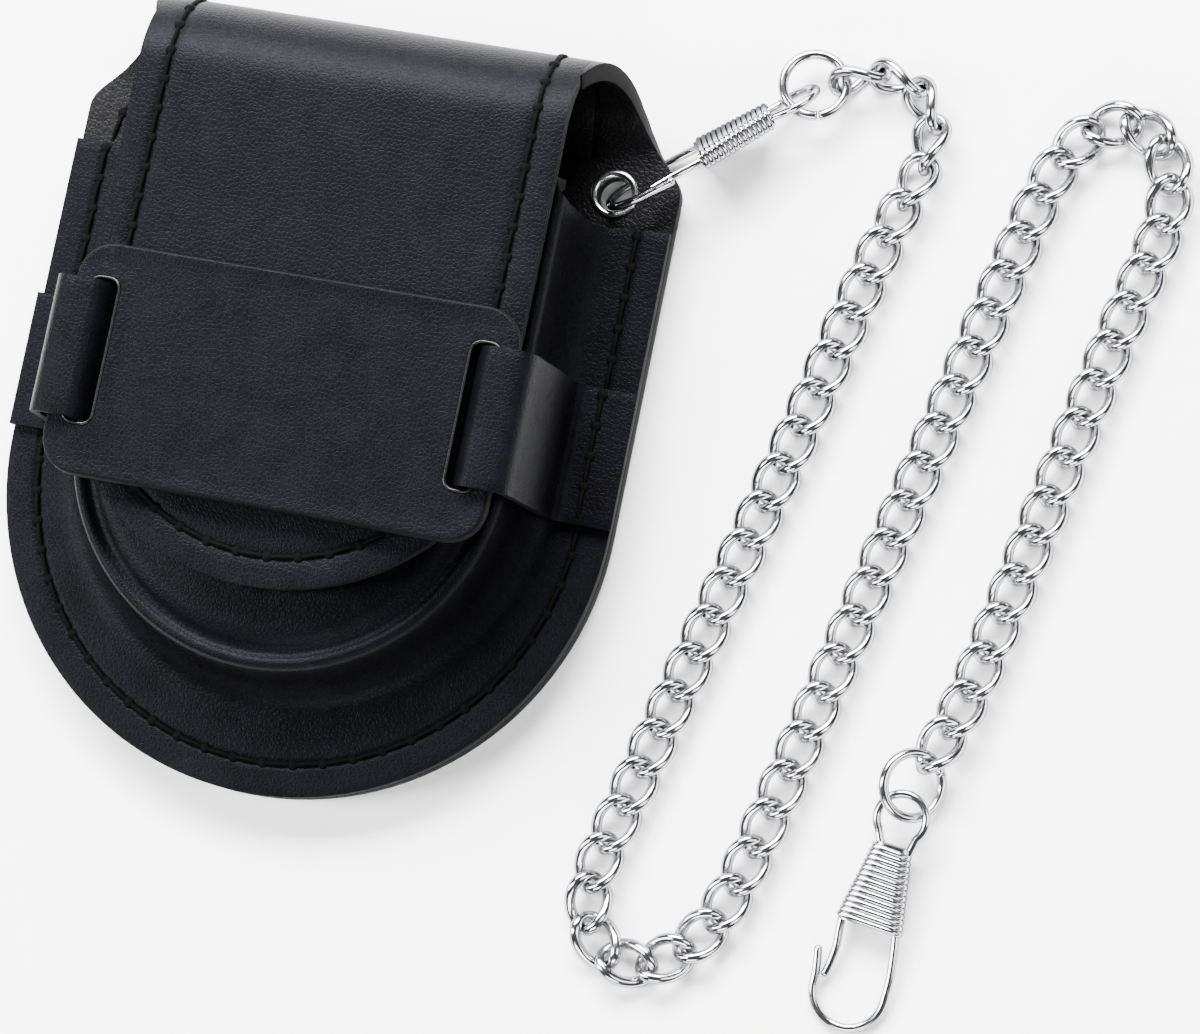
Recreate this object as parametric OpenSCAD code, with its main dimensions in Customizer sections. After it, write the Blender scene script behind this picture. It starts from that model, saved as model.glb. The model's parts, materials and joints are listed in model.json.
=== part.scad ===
// Leather belt pouch for a pocket watch, with its curb chain and two snap clips.
// The pouch lies on its back. Origin: centre of the pocket's round end, on the surface it lies on.
// +Z points out of the pouch's front, +Y to the arch of its flap. All sizes are millimetres.

/* [Pouch] */
// Width of the back panel and of the pocket's sewn flange
panel_w = 70; // [69:0.5:72]
// Thickness of the back panel
panel_t = 2; // [1.8:0.1:2.2]
// Thickness of the belt loop's leather
loop_t = 1.6; // [1.4:0.1:1.8]
// Thickness of the moulded pocket's leather
pocket_t = 1.6; // [1.4:0.1:1.8]
// Height of the pocket above the back panel
pocket_h = 14; // [13.5:0.5:15]
// Width of the flap
flap_w = 49; // [47:1:50]
// Height of the flap's arch above the origin, along Y
arch_top = 51; // [50.5:0.5:53]

/* [Band] */
// Width of the strap
strap_w = 15.3; // [14:0.1:15.5]
// Thickness of the strap
strap_t = 1.1; // [1:0.05:1.15]
// Length of the slotted plate
plate_l = 50.2; // [49:0.2:50.2]
// Width of the slotted plate
plate_w = 25.6; // [24:0.2:27]
// Thickness of the slotted plate
plate_t = 1.6; // [1.4:0.1:1.7]

/* [Chain] */
// Number of links
link_count = 67; // [66:1:68]
// Diameter of the links' wire
link_wire = 1.1; // [0.95:0.05:1.1]
// Half length of a link, between the centres of its wire
link_a = 3; // [2.95:0.05:3.05]
// Half width of a link, between the centres of its wire
link_b = 2.05; // [1.95:0.05:2.1]
// Twist of a link from one end to the other
link_twist = 90; // [80:5:95]

/* [Clips] */
// Diameter of the clips' wire
clip_wire = 0.95; // [0.9:0.05:1]
// Radius of the hook's bend, at the centre of the wire
hook_r = 3.95; // [3.9:0.05:4]
// Radius of the eye's bend, at the centre of the wire
eye_r = 2.7; // [2.6:0.05:2.75]
// Radius of a ring, at the centre of its wire
ring_r = 3.55; // [3.5:0.05:3.6]
// Diameter of a ring's wire
ring_wire = 1.1; // [1:0.05:1.1]

/* [Eyelet] */
// Outer diameter of the eyelet
eyelet_d = 5.6; // [5.2:0.1:5.8]
// Diameter of the eyelet's hole
eyelet_hole = 3.9; // [3.8:0.1:4]

/* [Hidden] */
$fn = 96;
eps = 0.01;

leather = [0.1, 0.1, 0.11];
grain = [0.16, 0.16, 0.17];
thread = [0.05, 0.05, 0.06];
steel = [0.82, 0.83, 0.85];

// Heights of the layers, from the surface upwards
panel_z = loop_t;
flange_z = panel_z + panel_t;
pocket_top = flange_z + pocket_h;
layer_gap = 0.1;
lining_t = 0.8;
flap_t = 1.5;
lining_z = pocket_top + layer_gap;
flap_z = lining_z + lining_t;
flap_top = flap_z + flap_t;
strap_under_z = flap_top + 0.05;
plate_z = strap_under_z + strap_t + layer_gap;
plate_top = plate_z + plate_t;
strap_over_z = plate_top + layer_gap;

// Places on the pouch
panel_r = panel_w / 2;
shoulder_r = 3.5;
shoulder_y = 38.5;
ear_r = 1.5;
ear_at = [26.5, 44.5];
arch_r = (flap_top - panel_z) / 2;
arch_y = arch_top - arch_r;
arch_z = panel_z + arch_r;
tail_r = 27;
tail_y = 13.5;
dome_y = 2.8;
strap_y = 8.4;
plate_y = 7.6;
slot_x = 21;
slot_w = 3.3;
slot_l = strap_w + 1;
flange_top_y = 34.5;
wall_top_y = 37;
eyelet_at = [27.6, 38.2];
stitch_inset = 3.6;
stitch_pitch = 3.4;
stitch_size = [2.5, 0.7, 0.45];

// Points on an arc, for outlines
function arc(at, r, from, to, steps) =
    [for (i = [0:steps]) at + r * [cos(from + (to - from) * i / steps), sin(from + (to - from) * i / steps)]];

// Outline of a strip of even thickness along a run of points in a plane
function left_of(v) = [-v.y, v.x] / norm(v);
function mitre(p, i) =
    let (before = i > 0 ? left_of(p[i] - p[i - 1]) : left_of(p[1] - p[0]))
    let (after = i < len(p) - 1 ? left_of(p[i + 1] - p[i]) : before)
    let (both = before + after)
    2 * both / (both * both);
function strip(p, t) = concat(
    [for (i = [0:len(p) - 1]) p[i] + mitre(p, i) * t / 2],
    [for (i = [len(p) - 1:-1:0]) p[i] - mitre(p, i) * t / 2]);

// ---- Pouch ----

module panel_outline() {
    circle(panel_r);
    translate([-panel_r, 0]) square([panel_w, shoulder_y]);
    hull() for (side = [-1, 1]) {
        translate([side * (panel_r - shoulder_r), shoulder_y]) circle(shoulder_r);
        translate([side * ear_at.x, ear_at.y]) circle(ear_r);
    }
}

module back_panel() {
    color(leather) difference() {
        translate([0, 0, panel_z]) linear_extrude(panel_t) panel_outline();
        translate([-flap_w / 2, arch_y, 0]) cube([flap_w, arch_r, flange_z + 1]);
        translate([eyelet_at.x, eyelet_at.y, 0]) cylinder(d = eyelet_hole + 0.6, h = flange_z + 1);
    }
}

// A flat strip that a belt slides behind, sewn at both ends and lying closed
module belt_loop() {
    loop_w = 34;
    loop_l = 62;
    loop_y = -24;
    color(leather) translate([-loop_w / 2, loop_y, 0]) cube([loop_w, loop_l, loop_t]);
}

// Half section of the pocket across its width: rounded foot, wall, bead and top
function pocket_outer() = concat(
    [[0, flange_z], [28.6, flange_z]],
    arc([28.6, flange_z + pocket_t + 2], 2, 270, 190, 4),
    arc([23.2, pocket_top - 4], 2, 10, 70, 3),
    arc([22, pocket_top - 1.6], 1.5, 0, 90, 4),
    [[0, pocket_top]]);
function pocket_inner() = concat(
    [[0, flange_z - 1], [25, flange_z - 1], [25, flange_z + 1]],
    arc([21.6, pocket_top - 4], 2, 10, 70, 3),
    [[20.6, pocket_top - pocket_t], [0, pocket_top - pocket_t]]);

module both_sides(points) {
    polygon(points);
    mirror([1, 0]) polygon(points);
}

// Points of the section that belong to the wall, without the flange
module pocket_run(from, to, wall_only) {
    translate([0, to, 0]) rotate([90, 0, 0]) linear_extrude(to - from) intersection() {
        both_sides(pocket_outer());
        if (wall_only) translate([-26.7, 0]) square([53.4, 40]);
    }
}

module flange() {
    translate([0, 0, flange_z]) linear_extrude(pocket_t) {
        circle(panel_r);
        translate([-panel_r, 0]) square([panel_w, flange_top_y]);
    }
}

module front_pocket() {
    color(leather) difference() {
        union() {
            flange();
            translate([0, dome_y, 0]) rotate([0, 0, 180])
                rotate_extrude(angle = 180) polygon(pocket_outer());
            pocket_run(dome_y, flange_top_y, false);
            pocket_run(flange_top_y, wall_top_y, true);
        }
        translate([0, dome_y, 0]) rotate([0, 0, 180])
            rotate_extrude(angle = 180) polygon(pocket_inner());
        translate([0, wall_top_y + 1, 0]) rotate([90, 0, 0])
            linear_extrude(wall_top_y + 1 - dome_y) both_sides(pocket_inner());
        translate([eyelet_at.x, eyelet_at.y, flange_z - 1]) cylinder(r = 4.3, h = pocket_h + 2);
    }
}

module flap_outline(inset) {
    intersection() {
        translate([-flap_w / 2 + inset, -20]) square([flap_w - 2 * inset, arch_y + 20]);
        union() {
            translate([0, tail_y]) circle(tail_r - inset);
            translate([-flap_w / 2, tail_y]) square([flap_w, arch_y]);
        }
    }
}

// Half ring that carries a layer of the flap over the top
module arch_layer(r_out, t, w) {
    translate([-w / 2, arch_y, arch_z]) rotate([0, 90, 0])
        linear_extrude(w) intersection() {
            difference() {
                circle(r_out);
                circle(r_out - t);
            }
            translate([-2 * r_out, 0]) square([4 * r_out, 2 * r_out]);
        }
}

module flap_outer() {
    color(leather) {
        translate([0, 0, flap_z]) linear_extrude(flap_t) flap_outline(0);
        arch_layer(arch_r, flap_t, flap_w);
    }
}

module flap_lining() {
    lining_inset = 0.5;
    color(grain) {
        translate([0, 0, lining_z]) linear_extrude(lining_t) flap_outline(lining_inset);
        arch_layer(arch_r - flap_t, lining_t, flap_w - 2 * lining_inset);
    }
}

// ---- Stitches ----

module stitch(at, along, z) {
    translate([at.x, at.y, z]) rotate([0, 0, along])
        translate([0, 0, stitch_size.z / 2]) cube(stitch_size, center = true);
}

module flange_stitches() {
    row_r = panel_r - stitch_inset;
    round_count = round(180 * row_r * PI / 180 / stitch_pitch);
    z = flange_z + pocket_t;
    color(thread) {
        for (i = [0.5:round_count]) let (a = 180 + 180 * i / round_count)
            stitch(row_r * [cos(a), sin(a)], a + 90, z);
        for (side = [-1, 1], y = [strap_y + strap_w / 2 + 2:stitch_pitch:flange_top_y - 2])
            if (norm([side * row_r, y] - eyelet_at) > 6.5) stitch([side * row_r, y], 90, z);
    }
}

module flap_stitches() {
    row_x = flap_w / 2 - 3.4;
    row_r = tail_r - 3.4;
    half = asin(row_x / row_r);
    count = 2 * round(half * row_r * PI / 180 / stitch_pitch);
    color(thread) {
        for (i = [1:count - 1]) let (a = 270 - half + 2 * half * i / count)
            if (tail_y + row_r * sin(a) < strap_y - strap_w / 2 - 1)
                stitch([0, tail_y] + row_r * [cos(a), sin(a)], a + 90, flap_top);
        for (side = [-1, 1], y = [plate_y + plate_w / 2 + 2:stitch_pitch:arch_y - 1])
            stitch([side * row_x, y], 90, flap_top);
    }
}

module strap_stitches() {
    row_x = panel_r - stitch_inset;
    z = flange_z + pocket_t + strap_t;
    color(thread) for (side = [-1, 1], i = [-1.5:1.5])
        stitch([side * row_x, strap_y + i * stitch_pitch], 90, z);
}

// ---- Band ----

// Middle line of the strap across the pouch, right half from the sewn end to the middle
function strap_half() = [
    [panel_r + 0.3, flange_z + pocket_t + strap_t / 2],
    [29.6, flange_z + pocket_t + strap_t / 2],
    [27.9, flange_z + 4.2],
    [27, pocket_top - 2],
    [26.6, plate_top],
    [25.6, strap_over_z + strap_t / 2],
    [21.7, strap_over_z + strap_t / 2],
    [20.3, strap_under_z + strap_t / 2]];

module band_strap() {
    right = strap_half();
    left = [for (i = [len(right) - 1:-1:0]) [-right[i].x, right[i].y]];
    color(leather) translate([0, strap_y + strap_w / 2, 0]) rotate([90, 0, 0])
        linear_extrude(strap_w) polygon(strip(concat(right, left), strap_t));
}

module plate_outline(corner) {
    for (x = [-1, 1], y = [-1, 1])
        translate([x * (plate_l / 2 - corner), y * (plate_w / 2 - corner)]) circle(corner);
    square([plate_l - 2 * corner, plate_w], center = true);
    square([plate_l, plate_w - 2 * corner], center = true);
}

module band_plate() {
    color(leather) translate([0, plate_y, plate_z]) linear_extrude(plate_t) difference() {
        plate_outline(4);
        for (side = [-1, 1]) translate([side * slot_x, strap_y - plate_y])
            square([slot_w, slot_l], center = true);
    }
}

// ---- Eyelet ----

module eyelet_ring(z, h, d) {
    translate([eyelet_at.x, eyelet_at.y, z]) difference() {
        cylinder(d = d, h = h);
        translate([0, 0, -1]) cylinder(d = eyelet_hole, h = h + 2);
    }
}

// Barrel through the leather and the rolled rim in front
module eyelet_front() {
    color(steel) {
        eyelet_ring(panel_z, panel_t, eyelet_hole + 0.6);
        eyelet_ring(flange_z, 0.5, eyelet_d);
    }
}

module eyelet_back() {
    color(steel) eyelet_ring(panel_z - 0.4, 0.4, eyelet_d + 0.4);
}

// ---- Swept wire ----

function unit(v) = v / norm(v);

// Tube along points, each ring turned to face along the run; side says which way is outwards
module tube(path, side, d, sides, closed) {
    n = len(path);
    along = [for (i = [0:n - 1])
        let (before = closed ? path[(i + n - 1) % n] : path[max(i - 1, 0)])
        let (after = closed ? path[(i + 1) % n] : path[min(i + 1, n - 1)])
        unit(after - before)];
    rings = [for (i = [0:n - 1])
        let (u = unit(side[i] - (side[i] * along[i]) * along[i]))
        let (v = cross(along[i], u))
        for (k = [0:sides - 1]) path[i] + d / 2 * (cos(360 * k / sides) * u + sin(360 * k / sides) * v)];
    last = closed ? n - 1 : n - 2;
    walls = [for (i = [0:last], k = [0:sides - 1]) let (j = (i + 1) % n, m = (k + 1) % sides)
        each [[i * sides + k, j * sides + m, i * sides + m], [i * sides + k, j * sides + k, j * sides + m]]];
    ends = closed ? [] : [[for (k = [0:sides - 1]) k], [for (k = [sides - 1:-1:0]) (n - 1) * sides + k]];
    polyhedron(rings, concat(walls, ends));
}

// ---- Clip ----
// In its own frame the hook's bend is centred on the origin, the eye is towards +Y, and the
// closed leg of the hook is on the +X side.

clip_sleeve_from = 7.2;
clip_sleeve_to = 16.6;
eye_y = 19.5;
gate_x = -2.85;
gate_from = 6.7;
gate_to = 0.9;

function clip_path() = concat(
    [[-5, 3.2], [-4.3, 2.1]],
    arc([0, 0], hook_r, 180, 360, 14),
    [[hook_r - 0.15, 3], [3.3, 6.4], [2.7, 9], [1.35, 16.3]],
    arc([0, eye_y], eye_r, -38, 218, 14),
    [[-1.35, 16.3], [-2.6, 9]]);

module clip_wire_shape() {
    path = [for (p = clip_path()) [p.x, p.y, 0]];
    tube(path, [for (p = path) [0, 0, 1]], clip_wire, 10, false);
}

module sleeve_shape() {
    thick = 2.8;
    at_hook = 3.8;
    at_eye = 2.2;
    hull() for (side = [-1, 1]) {
        translate([side * (at_hook - thick / 2), clip_sleeve_from, 0]) rotate([-90, 0, 0])
            cylinder(d = thick, h = eps, $fn = 20);
        translate([side * (at_eye - thick / 2), clip_sleeve_to - eps, 0]) rotate([-90, 0, 0])
            cylinder(d = thick, h = eps, $fn = 20);
    }
}

module gate_shape() {
    translate([gate_x, gate_to, 0]) rotate([-90, 0, 0]) cylinder(d = clip_wire - 0.05, h = gate_from - gate_to);
}

// Upper clip: leaning on edge, its closed leg under the panel's shoulder, its bend through the eyelet
clip_heading = 39;
upper_offset = 3;
upper_shift = 0.9;
upper_roll = 120;
upper_z = 4;
module place_upper() {
    out = [cos(clip_heading), sin(clip_heading)];
    translate([eyelet_at.x + upper_offset * out.x, eyelet_at.y + upper_offset * out.y, upper_z])
        rotate([0, 0, clip_heading - 90]) translate([upper_shift, 0, 0])
        rotate([0, upper_roll, 0]) children();
}

// Lower clip: lies on the surface, its eye a little higher than its hook
lower_at = [70, -43.3, 0.95];
lower_heading = 83;
lower_rise = 6;
module place_lower() {
    translate(lower_at) rotate([0, 0, lower_heading - 90]) rotate([lower_rise, 0, 0]) children();
}

module clip_upper_wire() { color(steel) place_upper() clip_wire_shape(); }
module clip_upper_sleeve() { color(steel) place_upper() sleeve_shape(); }
module clip_upper_gate() { color(steel) place_upper() gate_shape(); }
module clip_lower_wire() { color(steel) place_lower() clip_wire_shape(); }
module clip_lower_sleeve() { color(steel) place_lower() sleeve_shape(); }
module clip_lower_gate() { color(steel) place_lower() gate_shape(); }

// ---- Rings ----

upper_ring_at = [47.3, 54.1, 2.8];
upper_ring_lean = 8;
lower_ring_at = [72.9, -20.3, 3.1];
lower_ring_lean = 36;

// The upper ring slopes down away from its clip; the lower one is rolled about its clip
module ring_shape() {
    rotate_extrude() translate([ring_r, 0]) circle(d = ring_wire, $fn = 24);
}
module ring_upper() {
    color(steel) translate(upper_ring_at) rotate([0, 0, clip_heading]) rotate([0, upper_ring_lean, 0])
        ring_shape();
}
module ring_lower() {
    color(steel) translate(lower_ring_at) rotate([0, 0, lower_heading]) rotate([lower_ring_lean, 0, 0])
        ring_shape();
}

// ---- Chain ----

// Route of the chain's middle line, from the upper ring to the lower ring
route = [[49.9, 54.9, 2.4], [53.6, 56.6, 1.9], [57.4, 56.3, 1.6], [60.4, 53.6, 1.6], [61.2, 49.6, 1.6],
    [60.3, 45, 1.6], [58.9, 41, 1.6], [56.6, 32, 1.6], [54.7, 23.5, 1.6], [52.6, 14.5, 1.6],
    [50, 4, 1.6], [47, -8, 1.6], [44, -20, 1.6], [41.5, -30, 1.6], [40.2, -35, 1.6],
    [39.9, -39.4, 1.6], [41.3, -43.4, 1.6], [44.8, -45.4, 1.6], [48.8, -44.7, 1.6], [52.2, -41.8, 1.6],
    [54.8, -37.8, 1.6], [56.2, -33, 1.6], [58, -26, 1.6], [63, -4, 1.6], [68, 18, 1.6],
    [72, 36, 1.6], [74.6, 47.4, 1.6], [76.3, 51.4, 1.6], [78.9, 54.6, 1.6], [82.5, 55.8, 1.6],
    [86, 54.3, 1.6], [87.9, 50.6, 1.6], [88.3, 46.4, 1.6], [87.5, 42, 1.6], [84.6, 29, 1.6],
    [81.6, 14, 1.6], [78.6, -1, 1.6], [76.4, -11, 1.7], [73.9, -17.7, 2.5]];

// Smooth curve through the route's points, as many short steps
function bend(a, b, c, d, t) = 0.5 * (2 * b + (c - a) * t + (2 * a - 5 * b + 4 * c - d) * t * t
    + (3 * b - a - 3 * c + d) * t * t * t);
function on_route(i, t) = let (n = len(route) - 1)
    bend(route[max(i - 1, 0)], route[i], route[i + 1], route[min(i + 2, n)], t);
curve = concat([for (i = [0:len(route) - 2], k = [0:7]) on_route(i, k / 8)], [route[len(route) - 1]]);
walked = [for (i = 0, s = 0; i < len(curve); i = i + 1,
    s = i < len(curve) ? s + norm(curve[i] - curve[i - 1]) : s) s];
chain_length = walked[len(walked) - 1];
function along_curve(s) = [for (k = [0:2])
    lookup(s, [for (i = [0:len(curve) - 1]) [walked[i], curve[i][k]]])];
joints = [for (i = [0:link_count]) along_curve(chain_length * i / link_count)];

// A curb link: a flattened oval twisted about its length
link_steps = 12;
roundness = 0.9;
function eased(v) = sign(v) * pow(abs(v), roundness);
function link_path(roll) = [for (i = [0:link_steps - 1])
    let (a = 360 * (i + 0.5) / link_steps)
    let (x = link_a * eased(cos(a)), y = link_b * eased(sin(a)))
    let (turn = roll + link_twist / 2 * x / link_a)
    [x, y * cos(turn), y * sin(turn)]];

// The first link stands on edge in the upper ring and the next few roll back to lie flat;
// the last two are rolled a little the same way in the lower ring
first_roll = 90;
first_rolled = 6;
last_roll = 8;
function link_roll(i) = max(0, first_roll * (1 - i / first_rolled), last_roll * (i - link_count + 3));

module link(i) {
    run = joints[i + 1] - joints[i];
    path = link_path(link_roll(i));
    translate((joints[i] + joints[i + 1]) / 2)
        rotate([0, -asin(run.z / norm(run)), atan2(run.y, run.x)])
            tube(path, path, link_wire, 8, true);
}

// First link of each stretch of chain
starts = [0, 5, 11, 17, 22, 28, 34, 40, 46, 52, 57, 62, link_count];
module stretch(k) {
    color(steel) for (i = [starts[k]:starts[k + 1] - 1]) link(i);
}
module chain_01() { stretch(0); }
module chain_02() { stretch(1); }
module chain_03() { stretch(2); }
module chain_04() { stretch(3); }
module chain_05() { stretch(4); }
module chain_06() { stretch(5); }
module chain_07() { stretch(6); }
module chain_08() { stretch(7); }
module chain_09() { stretch(8); }
module chain_10() { stretch(9); }
module chain_11() { stretch(10); }
module chain_12() { stretch(11); }

belt_loop();
back_panel();
front_pocket();
flap_outer();
flap_lining();
flange_stitches();
flap_stitches();
strap_stitches();
band_strap();
band_plate();
eyelet_front();
eyelet_back();
clip_upper_wire();
clip_upper_sleeve();
clip_upper_gate();
ring_upper();
chain_01();
chain_02();
chain_03();
chain_04();
chain_05();
chain_06();
chain_07();
chain_08();
chain_09();
chain_10();
chain_11();
chain_12();
ring_lower();
clip_lower_wire();
clip_lower_sleeve();
clip_lower_gate();
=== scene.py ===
import json
import math

import bmesh
import bpy
import numpy as np
from mathutils import Matrix, Vector, noise
from mathutils.geometry import delaunay_2d_cdt


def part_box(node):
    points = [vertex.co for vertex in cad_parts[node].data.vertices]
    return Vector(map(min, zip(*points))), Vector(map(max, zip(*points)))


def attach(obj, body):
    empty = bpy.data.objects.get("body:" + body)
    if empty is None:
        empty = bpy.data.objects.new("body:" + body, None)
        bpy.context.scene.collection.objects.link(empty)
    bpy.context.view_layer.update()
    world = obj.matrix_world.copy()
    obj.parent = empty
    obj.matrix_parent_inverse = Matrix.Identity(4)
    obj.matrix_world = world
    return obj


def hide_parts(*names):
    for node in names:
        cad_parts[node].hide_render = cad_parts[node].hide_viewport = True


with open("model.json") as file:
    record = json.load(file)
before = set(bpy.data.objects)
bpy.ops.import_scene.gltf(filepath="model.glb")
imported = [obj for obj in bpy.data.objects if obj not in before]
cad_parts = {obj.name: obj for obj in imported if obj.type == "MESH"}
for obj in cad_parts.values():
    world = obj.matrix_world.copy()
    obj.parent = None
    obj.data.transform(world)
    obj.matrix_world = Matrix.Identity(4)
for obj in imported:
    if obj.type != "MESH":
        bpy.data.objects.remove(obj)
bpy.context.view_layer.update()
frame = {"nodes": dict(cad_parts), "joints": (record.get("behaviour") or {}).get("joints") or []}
nodes = frame["nodes"]
joints = {joint["name"]: joint for joint in frame["joints"]}
mm = 0.001
mergeGap = 1e-6
print("frame loaded")


# Small helpers for meshes and node trees

def addNode(tree, kind, settings=None, inputs=None):
    node = tree.nodes.new(kind)
    for key, value in (settings or {}).items():
        setattr(node, key, value)
    for key, value in (inputs or {}).items():
        if isinstance(value, bpy.types.NodeSocket):
            tree.links.new(value, node.inputs[key])
        else:
            node.inputs[key].default_value = value
    return node


def linear(hexColour):
    channels = [int(hexColour[i:i + 2], 16) / 255 for i in (1, 3, 5)]
    return [c / 12.92 if c <= 0.04045 else ((c + 0.055) / 1.055) ** 2.4 for c in channels] + [1.0]


def meshObject(name, points, faces):
    data = bpy.data.meshes.new(name)
    data.from_pydata([tuple(p) for p in points], [], faces)
    data.validate()
    for polygon in data.polygons:
        polygon.use_smooth = True
    made = bpy.data.objects.new(name, data)
    bpy.context.scene.collection.objects.link(made)
    return made


def weld(piece, faceUp=False):
    # merges doubles and turns the faces outwards, or upwards on an open sheet
    shape = bmesh.new()
    shape.from_mesh(piece.data)
    bmesh.ops.remove_doubles(shape, verts=shape.verts, dist=mergeGap)
    bmesh.ops.dissolve_degenerate(shape, edges=shape.edges, dist=mergeGap)
    bmesh.ops.recalc_face_normals(shape, faces=shape.faces)
    if faceUp:
        area = sum(f.normal.z * f.calc_area() for f in shape.faces)
        if area < 0:
            bmesh.ops.reverse_faces(shape, faces=shape.faces)
    shape.to_mesh(piece.data)
    shape.free()


def thicken(piece, thickness, edgeWidth):
    # gives a sheet its thickness, with the second material on its rounded edge
    solid = piece.modifiers.new("leather thickness", "SOLIDIFY")
    solid.thickness = thickness
    solid.offset = -1
    solid.material_offset_rim = 1
    edge = piece.modifiers.new("rounded edge", "BEVEL")
    edge.width = edgeWidth
    edge.segments = 3
    edge.limit_method = "ANGLE"
    edge.angle_limit = math.radians(50)
    edge.loop_slide = False


def finishPiece(piece, body, materials, replaced):
    piece.data.materials.clear()
    for material in materials:
        piece.data.materials.append(material)
    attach(piece, body)
    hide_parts(*replaced)


def inside(point, loop):
    x, y = point
    hit = False
    for (x1, y1), (x2, y2) in zip(loop, loop[1:] + loop[:1]):
        if (y1 > y) != (y2 > y) and x < (x2 - x1) * (y - y1) / (y2 - y1) + x1:
            hit = not hit
    return hit


def toSegments(point, starts, spans):
    p = np.array(point)
    t = np.clip(((p - starts) * spans).sum(1) / np.maximum((spans * spans).sum(1), 1e-12), 0, 1)
    return np.sqrt((((starts + spans * t[:, None]) - p) ** 2).sum(1)).min()


def nearest(point, loop):
    # distance from a closed outline
    starts = np.array(loop)
    return toSegments(point, starts, np.roll(starts, -1, 0) - starts)


def arc(centre, radius, start, end, steps):
    turns = [math.radians(start + (end - start) * i / steps) for i in range(steps + 1)]
    return [(centre[0] + radius * math.cos(t), centre[1] + radius * math.sin(t)) for t in turns]


def spaced(loop, gap):
    # the same outline with points no further apart than the gap
    points = []
    for a, b in zip(loop, loop[1:] + loop[:1]):
        count = max(1, math.ceil(math.dist(a, b) / gap))
        for i in range(count):
            points.append((a[0] + (b[0] - a[0]) * i / count, a[1] + (b[1] - a[1]) * i / count))
    return points


def toRow(point, row):
    # distance from an open run of points
    starts = np.array(row[:-1])
    return toSegments(point, starts, np.array(row[1:]) - starts)


def beside(row, away):
    # the same run moved to one side
    moved = []
    for i, p in enumerate(row):
        a, b = row[max(i - 1, 0)], row[min(i + 1, len(row) - 1)]
        length = max(math.dist(a, b), 1e-9)
        moved.append((p[0] - (b[1] - a[1]) / length * away, p[1] + (b[0] - a[0]) / length * away))
    return moved


def groove(point, rows, width, depth):
    # how far the leather is pulled down beside a row of stitches
    if not rows:
        return 0.0
    near = min(toRow(point, row) for row in rows)
    return depth * max(0.0, 1 - near / width) ** 0.8


def onSheet(point, loops):
    # within the outline and outside every hole
    return inside(point, loops[0]) and not any(inside(point, hole) for hole in loops[1:])


def openRun(row, gap):
    # an open run with points no further apart than the gap
    closing = math.ceil(math.dist(row[-1], row[0]) / gap)
    return spaced(row, gap)[:-closing or None]


def cutSheet(outline, holes, gap, rows=()):
    # a leather blank as a fine net of triangles, in millimetres, finer along its stitched rows
    loops = [spaced(loop, gap) for loop in [outline] + holes]
    points = []
    edges = []
    wide = stitchSize["groove"]
    lines = [openRun(row, gap * 0.8) for row in rows]
    for line in lines:
        for away in (-wide, -wide / 2, 0, wide / 2, wide):
            for p in beside(line, away):
                if inside(p, loops[0]) and min(nearest(p, loop) for loop in loops) > 0.25:
                    points.append(p)
    for loop in loops:
        first = len(points)
        points += loop
        edges += [(first + i, first + (i + 1) % len(loop)) for i in range(len(loop))]
    lows = np.min(loops[0], 0)
    highs = np.max(loops[0], 0)
    squeeze = 0.87
    for row in range(int((highs[1] - lows[1]) / (gap * squeeze)) + 1):
        y = lows[1] + row * gap * squeeze
        x = lows[0] + (0.5 if row % 2 else 0) * gap
        while x < highs[0]:
            if onSheet((x, y), loops):
                clear = not lines or min(toRow((x, y), line) for line in lines) > wide + gap * 0.4
                if clear and min(nearest((x, y), loop) for loop in loops) > gap * 0.6:
                    points.append((x, y))
            x += gap
    found = delaunay_2d_cdt([Vector(p) for p in points], edges, [], 0, 1e-5)
    spots = [(p.x, p.y) for p in found[0]]
    faces = []
    for face in found[2]:
        middle = tuple(np.mean([spots[i] for i in face], 0))
        if onSheet(middle, loops):
            faces.append(tuple(face))
    return spots, faces


def netFaces(rows, across, closedAcross=False, closedAlong=False):
    # four-sided faces between rows of points
    faces = []
    for i in range(rows if closedAlong else rows - 1):
        j = (i + 1) % rows
        for k in range(across if closedAcross else across - 1):
            m = (k + 1) % across
            faces.append((i * across + k, i * across + m, j * across + m, j * across + k))
    return faces


def swell(point, size, amount):
    # soft unevenness of worked leather, in millimetres
    return amount * noise.noise(Vector(point) / size)


def tube(name, path, radius, sides, ref, closed=False, capRound=True):
    # wire swept along points in metres; ref is a direction that the path never runs along
    path = [Vector(p) for p in path]
    count = len(path)
    points = []
    rings = []
    for i, p in enumerate(path):
        before = path[i - 1] if (i or closed) else p
        after = path[(i + 1) % count] if (i < count - 1 or closed) else p
        along = (after - before).normalized()
        side = (ref - ref.dot(along) * along).normalized()
        up = along.cross(side)
        rings.append((p, along, side, up, 1.0))
    if capRound and not closed:
        head, tail = rings[0], rings[-1]
        startCap = []
        endCap = []
        for step in range(4):
            lean = math.radians(90 - 22.5 * (step + 0.4))
            startCap.append((head[0] - head[1] * radius * math.sin(lean), *head[1:4], math.cos(lean)))
            endCap.insert(0, (tail[0] + tail[1] * radius * math.sin(lean), *tail[1:4], math.cos(lean)))
        rings = startCap + rings + endCap
    for p, along, side, up, grow in rings:
        for k in range(sides):
            turn = 2 * math.pi * k / sides
            points.append(p + radius * grow * (math.cos(turn) * side + math.sin(turn) * up))
    total = len(rings)
    faces = netFaces(total, sides, True, closed)
    if not closed:
        faces.append(tuple(range(sides - 1, -1, -1)))
        faces.append(tuple((total - 1) * sides + k for k in range(sides)))
    made = meshObject(name, points, faces)
    weld(made)
    return made


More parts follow.
